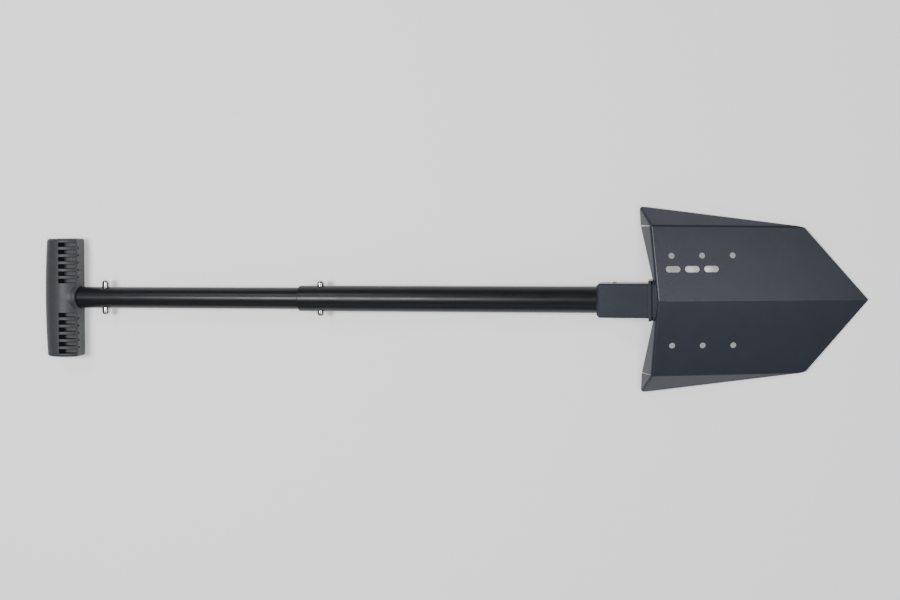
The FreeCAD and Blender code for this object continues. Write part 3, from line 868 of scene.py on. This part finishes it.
def make_grip(grip, shaft):
    piece = grip_bar(grip)
    start, end = grip.widest, grip.front
    turn = grip.neck_round
    rim = [(end - turn + turn * math.sin(a), grip.neck - turn + turn * math.cos(a))
           for a in [math.pi / 2 * k / 6 for k in range(7)]]
    # the neck tapers a little, then steps up into a ring round its mouth
    step = end - grip.neck_ring
    neck = turned("neck", [(start, 0), (start, grip.neck), (step, grip.neck - NECK_TAPER),
                           (step + 0.0006, grip.neck - 0.0002)] + rim + [(end, 0)], SHAFT)
    combine(piece, [neck], "UNION")
    nylon = finish_of(glass_filled_nylon)
    pockets = [in_row(pocket_cutter(grip, up), grip.pockets, (0, side * grip.pocket_first, 0),
                      (0, side * grip.pocket_pitch, 0), nylon)
               for side in (1, -1) for up in (1, -1)]
    notch = grip.notch / 2
    pockets += [in_row(block("notch", (grip.front - notch, -notch, grip.front_half - 4 * notch),
                             (grip.front + 0.001, notch, grip.front_half + 0.004)),
                       grip.pockets - 1, (0, side * (grip.pocket_first + grip.pocket_pitch / 2), 0),
                       (0, side * grip.pocket_pitch, 0), nylon) for side in (1, -1)]
    mouth, wide = end - 0.003, shaft.upper_radius + grip.seam
    bore = turned("bore", [(shaft.upper_rear, 0), (shaft.upper_rear, shaft.upper_radius),
                           (mouth, shaft.upper_radius), (mouth, wide), (end + OVERRUN, wide),
                           (end + OVERRUN, 0)], SHAFT)
    combine(piece, pockets + [bore, rivet_shape("rivet_cutter", grip, 0.004)])
    round_edges(piece, grip.edge, 2, math.radians(38))
    smooth(piece)
    paint(piece, glass_filled_nylon)
    return piece


def rivet_shape(name, grip, longer=0.0, dimple=0.0):
    """The rivet about its own axis, across the shaft from below: shank, then head."""
    head, shank, thick = grip.rivet_head, grip.rivet_shank, RIVET_THICK
    profile = [(grip.rivet_end, 0), (grip.rivet_end, shank), (grip.rivet_foot - thick, shank),
               (grip.rivet_foot - thick, head), (grip.rivet_foot + longer, head)]
    if dimple:
        edge = 0.0004
        profile[-1:] = [(grip.rivet_foot - edge, head), (grip.rivet_foot, head - edge),
                        (grip.rivet_foot, shank), (grip.rivet_foot - dimple, shank * 0.8),
                        (grip.rivet_foot - dimple, 0)]
    else:
        profile.append((grip.rivet_foot + longer, 0))
    place = SHAFT @ Matrix.Translation((grip.rivet_at, 0, 0)) @ Matrix.Rotation(math.pi / 2, 4, "Y")
    return turned(name, profile, place, 48)


def make_rivet(grip):
    piece = rivet_shape("rivet", grip, dimple=0.0006)
    smooth(piece)
    paint(piece, pressed_aluminium)
    return piece


# ---- stage ----
def aim(lamp, target):
    """Turns a lamp towards a point, its upright side along the shovel."""
    back = (lamp.location - Vector(target)).normalized()
    right = Vector((1, 0, 0.01)).cross(back).normalized()
    lamp.rotation_euler = Matrix((right, back.cross(right), back)).transposed().to_euler()


def soft_light(name, place, target, across, along, power):
    """A rectangular lamp, its sides measured across and along the shovel, in metres and watts."""
    data = bpy.data.lights.new(name, "AREA")
    data.shape = "RECTANGLE"
    data.size, data.size_y, data.energy = across, along, power
    lamp = bpy.data.objects.new(name, data)
    bpy.context.scene.collection.objects.link(lamp)
    lamp.location = place
    aim(lamp, target)


CAMERA_DISTANCE = 1.4318         # from the shaft's mid-plane along the view
CAMERA_AT = (-0.2350, 0.0814)    # where the view's axis meets the shaft's mid-plane
CAMERA_ASIDE = math.radians(11.15)
CAMERA_OVER = math.radians(0.27)
CAMERA_ROLL = math.radians(-0.42)
CAMERA_SHIFT = -0.08             # the frame's middle lies below the view's axis
CAMERA_LENS = 50.0


def make_camera():
    """Nearly straight down on the blade's back, from a little towards the tip."""
    a, o = CAMERA_ASIDE, CAMERA_OVER
    back = Vector((math.sin(a) * math.cos(o), math.sin(o), math.cos(a) * math.cos(o)))
    right = Vector((math.cos(a), 0, -math.sin(a)))
    up = back.cross(right)
    rolled_right = right * math.cos(CAMERA_ROLL) + up * math.sin(CAMERA_ROLL)
    rolled_up = up * math.cos(CAMERA_ROLL) - right * math.sin(CAMERA_ROLL)
    local = Matrix((rolled_right, rolled_up, back)).transposed().to_4x4()
    local.translation = Vector((*CAMERA_AT, 0)) + back * CAMERA_DISTANCE
    data = bpy.data.cameras.new("camera")
    data.lens, data.sensor_width, data.shift_y = CAMERA_LENS, 36.0, CAMERA_SHIFT
    data.clip_start, data.clip_end = 0.01, 50.0
    camera = bpy.data.objects.new("camera", data)
    bpy.context.scene.collection.objects.link(camera)
    camera.matrix_world = SHAFT @ local
    bpy.context.scene.camera = camera


def make_stage():
    """A pale paper floor, soft lights overhead and on both sides, and a pale surround."""
    span = 6.0
    floor = piece_from("floor", [(-span, -span, 0), (span, -span, 0), (span, span, 0),
                                 (-span, span, 0)], [(0, 1, 2, 3)])
    paint(floor, studio_paper)
    soft_light("key", (-0.75, 0.15, 2.0), (-0.3, 0, 0), 0.45, 0.6, 34)
    soft_light("side", (-0.95, 1.4, 1.8), (-0.3, 0, 0), 0.6, 0.5, 8)
    soft_light("face", (1.0, 0.06, 2.1), (0.35, 0, 0), 1.1, 0.9, 14)
    soft_light("fill", (0.1, -1.7, 1.2), (0, 0, 0), 1.0, 2.4, 5)
    world = bpy.data.worlds.new("surround")
    world.use_nodes = True
    ground = world.node_tree.nodes["Background"]
    ground.inputs["Color"].default_value = linear("#e8ebee")
    ground.inputs["Strength"].default_value = 0.15
    bpy.context.scene.world = world


# ---- operators ----
def settle(piece, body, slot, *nodes):
    """Sets a piece on its body, in place of its CAD nodes. The slot argument is not used."""
    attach(piece, body)
    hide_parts(*nodes)


class SHOVEL_OT_blade(bpy.types.Operator):
    """Make the folded blade"""
    bl_idname = "shovel.blade"
    bl_label = "Blade"

    def execute(self, context):
        scene = context.scene
        settle(make_blade(scene.shovel_blade, scene.shovel_shaft), "blade", "blade_powder_coat",
               "blade_plate")
        return {"FINISHED"}


class SHOVEL_OT_socket(bpy.types.Operator):
    """Make the socket, its end plate, its collar and the weld beads"""
    bl_idname = "shovel.socket"
    bl_label = "Socket"

    def execute(self, context):
        blade, shaft = context.scene.shovel_blade, context.scene.shovel_shaft
        for piece, node in ((make_socket(blade, shaft), "socket_tube"),
                            (make_end_plate(blade, shaft), "socket_end_plate"),
                            (make_collar(shaft), "socket_collar"),
                            (make_welds(blade, shaft), "socket_welds")):
            settle(piece, "blade", "blade_powder_coat", node)
        return {"FINISHED"}


class SHOVEL_OT_tubes(bpy.types.Operator):
    """Make the two shaft tubes, and finish their plugs and springs"""
    bl_idname = "shovel.tubes"
    bl_label = "Tubes"

    def execute(self, context):
        shaft = context.scene.shovel_shaft
        lower = make_tube("shaft_lower", shaft.lower_radius, shaft.lower_bore, shaft.lower_rear,
                          shaft.lower_front, (shaft.extension_at, shaft.socket_at), shaft)
        upper = make_tube("shaft_upper", shaft.upper_radius, shaft.upper_bore, shaft.upper_rear,
                          shaft.upper_front, (shaft.storage_at, shaft.extension_at), shaft)
        settle(lower, "lower_shaft", "black_tube", "lower_tube")
        settle(upper, "upper_shaft", "black_tube", "upper_tube")
        for node in ("lower_tube_plug", "upper_tube_plug"):
            paint(frame["nodes"][node], black_polyethylene)
        for node in ("socket_spring", "extension_spring", "storage_spring"):
            paint(frame["nodes"][node], blued_spring_steel)
        return {"FINISHED"}


class SHOVEL_OT_buttons(bpy.types.Operator):
    """Make the six snap buttons"""
    bl_idname = "shovel.buttons"
    bl_label = "Snap buttons"

    def execute(self, context):
        shaft = context.scene.shovel_shaft
        for group, at in (("socket", shaft.socket_at), ("extension", shaft.extension_at),
                          ("storage", shaft.storage_at)):
            for word, side in (("left", 1), ("right", -1)):
                node = f"{group}_button_{word}"
                settle(make_button(f"{group}_snap_{word}", at, side, shaft), node,
                       "polished_steel", node)
        return {"FINISHED"}


class SHOVEL_OT_grip(bpy.types.Operator):
    """Make the T-grip and its rivet"""
    bl_idname = "shovel.grip"
    bl_label = "Grip"

    def execute(self, context):
        grip, shaft = context.scene.shovel_grip, context.scene.shovel_shaft
        settle(make_grip(grip, shaft), "upper_shaft", "grip_plastic", "grip")
        settle(make_rivet(grip), "upper_shaft", "rivet_metal", "grip_rivet")
        return {"FINISHED"}


class SHOVEL_OT_stage(bpy.types.Operator):
    """Make the floor, the lights and the camera"""
    bl_idname = "shovel.stage"
    bl_label = "Stage"

    def execute(self, context):
        make_stage()
        make_camera()
        return {"FINISHED"}


OPERATORS = (SHOVEL_OT_stage, SHOVEL_OT_blade, SHOVEL_OT_socket, SHOVEL_OT_tubes,
             SHOVEL_OT_buttons, SHOVEL_OT_grip)


class SHOVEL_PT_panel(bpy.types.Panel):
    """Lists the shovel's operators"""
    bl_idname = "SHOVEL_PT_panel"
    bl_label = "Camp Shovel"
    bl_space_type = "VIEW_3D"
    bl_region_type = "UI"
    bl_category = "Shovel"

    def draw(self, context):
        for operator in OPERATORS:
            self.layout.operator(operator.bl_idname)


GROUPS = {"shovel_blade": ShovelBlade, "shovel_shaft": ShovelShaft, "shovel_grip": ShovelGrip,
          "shovel_colours": ShovelColours}


def register():
    for name, group in GROUPS.items():
        bpy.utils.register_class(group)
        setattr(bpy.types.Scene, name, PointerProperty(type=group))
    for operator in OPERATORS:
        bpy.utils.register_class(operator)
    bpy.utils.register_class(SHOVEL_PT_panel)


def unregister():
    bpy.utils.unregister_class(SHOVEL_PT_panel)
    for operator in reversed(OPERATORS):
        bpy.utils.unregister_class(operator)
    for name, group in reversed(GROUPS.items()):
        delattr(bpy.types.Scene, name)
        bpy.utils.unregister_class(group)


def main():
    register()
    for operator in OPERATORS:
        group, name = operator.bl_idname.split(".")
        getattr(getattr(bpy.ops, group), name)()


if __name__ == "__main__":
    main()
